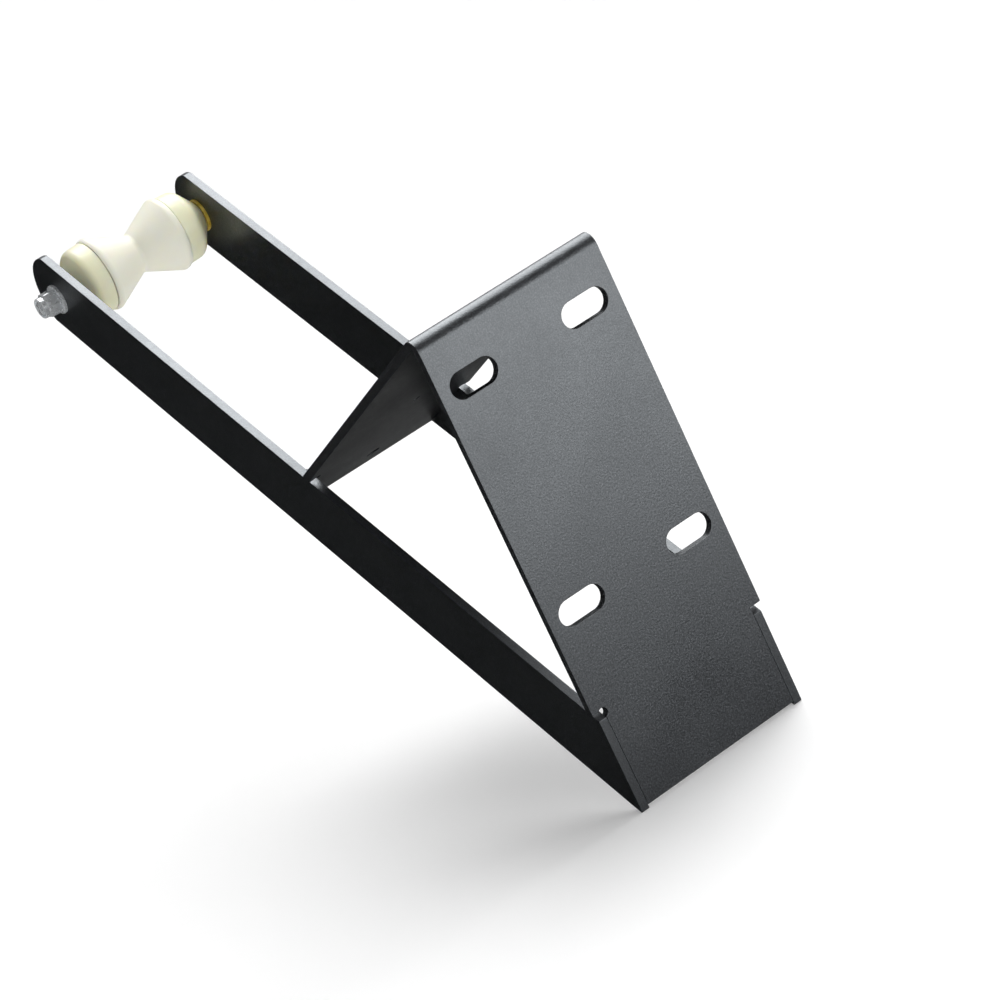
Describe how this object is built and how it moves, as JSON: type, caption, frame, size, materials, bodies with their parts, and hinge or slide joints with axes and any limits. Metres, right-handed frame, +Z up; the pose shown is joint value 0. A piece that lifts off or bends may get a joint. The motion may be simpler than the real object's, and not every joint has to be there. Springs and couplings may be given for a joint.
{
  "type": "bow roller",
  "caption": "Welded steel bow roller bracket with a slotted mounting plate, a folded brace and long side arms that carry a free-turning hourglass keel roller on an axle bolt.",
  "frame": {"origin": "centre of the mounting plate's four-slot pattern, on the face that lies against the post", "axes": "+X from the post towards the boat, +Y to the left when looking along +X (the nut's side), +Z up"},
  "size_m": [0.6047, 0.1675, 0.3981],
  "materials": {
    "bracket_coat": "fine-textured satin black powder coat",
    "weld_coat": "satin black powder coat over a weld bead",
    "spool_plastic": "smooth off-white moulded plastic",
    "bell_plastic": "smooth, slightly translucent ivory plastic",
    "bush_plastic": "translucent amber plastic",
    "zinc_plate": "bright zinc plate",
    "insert_nylon": "pale nylon"
  },
  "bodies": {
    "bracket": {"bent_plate": "bracket_coat", "left_arm": "bracket_coat", "right_arm": "bracket_coat", "left_plate_weld": "weld_coat", "right_plate_weld": "weld_coat", "left_brace_weld": "weld_coat", "right_brace_weld": "weld_coat", "left_bush": "bush_plastic", "right_bush": "bush_plastic", "axle_bolt": "zinc_plate", "nut_washer": "zinc_plate", "head_washer": "zinc_plate", "lock_nut": "zinc_plate", "nut_insert": "insert_nylon"},
    "spool": {"roller_spool": "spool_plastic"},
    "left_bell": {"left_end_bell": "bell_plastic"},
    "right_bell": {"right_end_bell": "bell_plastic"}
  },
  "joints": [
    {"name": "spool_spin", "type": "hinge", "parent": "bracket", "child": "spool", "pos_m": [0.57092, 0, 0.13678], "axis": [0, 1, 0], "continuous": true},
    {"name": "left_bell_spin", "type": "hinge", "parent": "bracket", "child": "left_bell", "pos_m": [0.57092, 0, 0.13678], "axis": [0, 1, 0], "continuous": true},
    {"name": "right_bell_spin", "type": "hinge", "parent": "bracket", "child": "right_bell", "pos_m": [0.57092, 0, 0.13678], "axis": [0, 1, 0], "continuous": true}
  ]
}
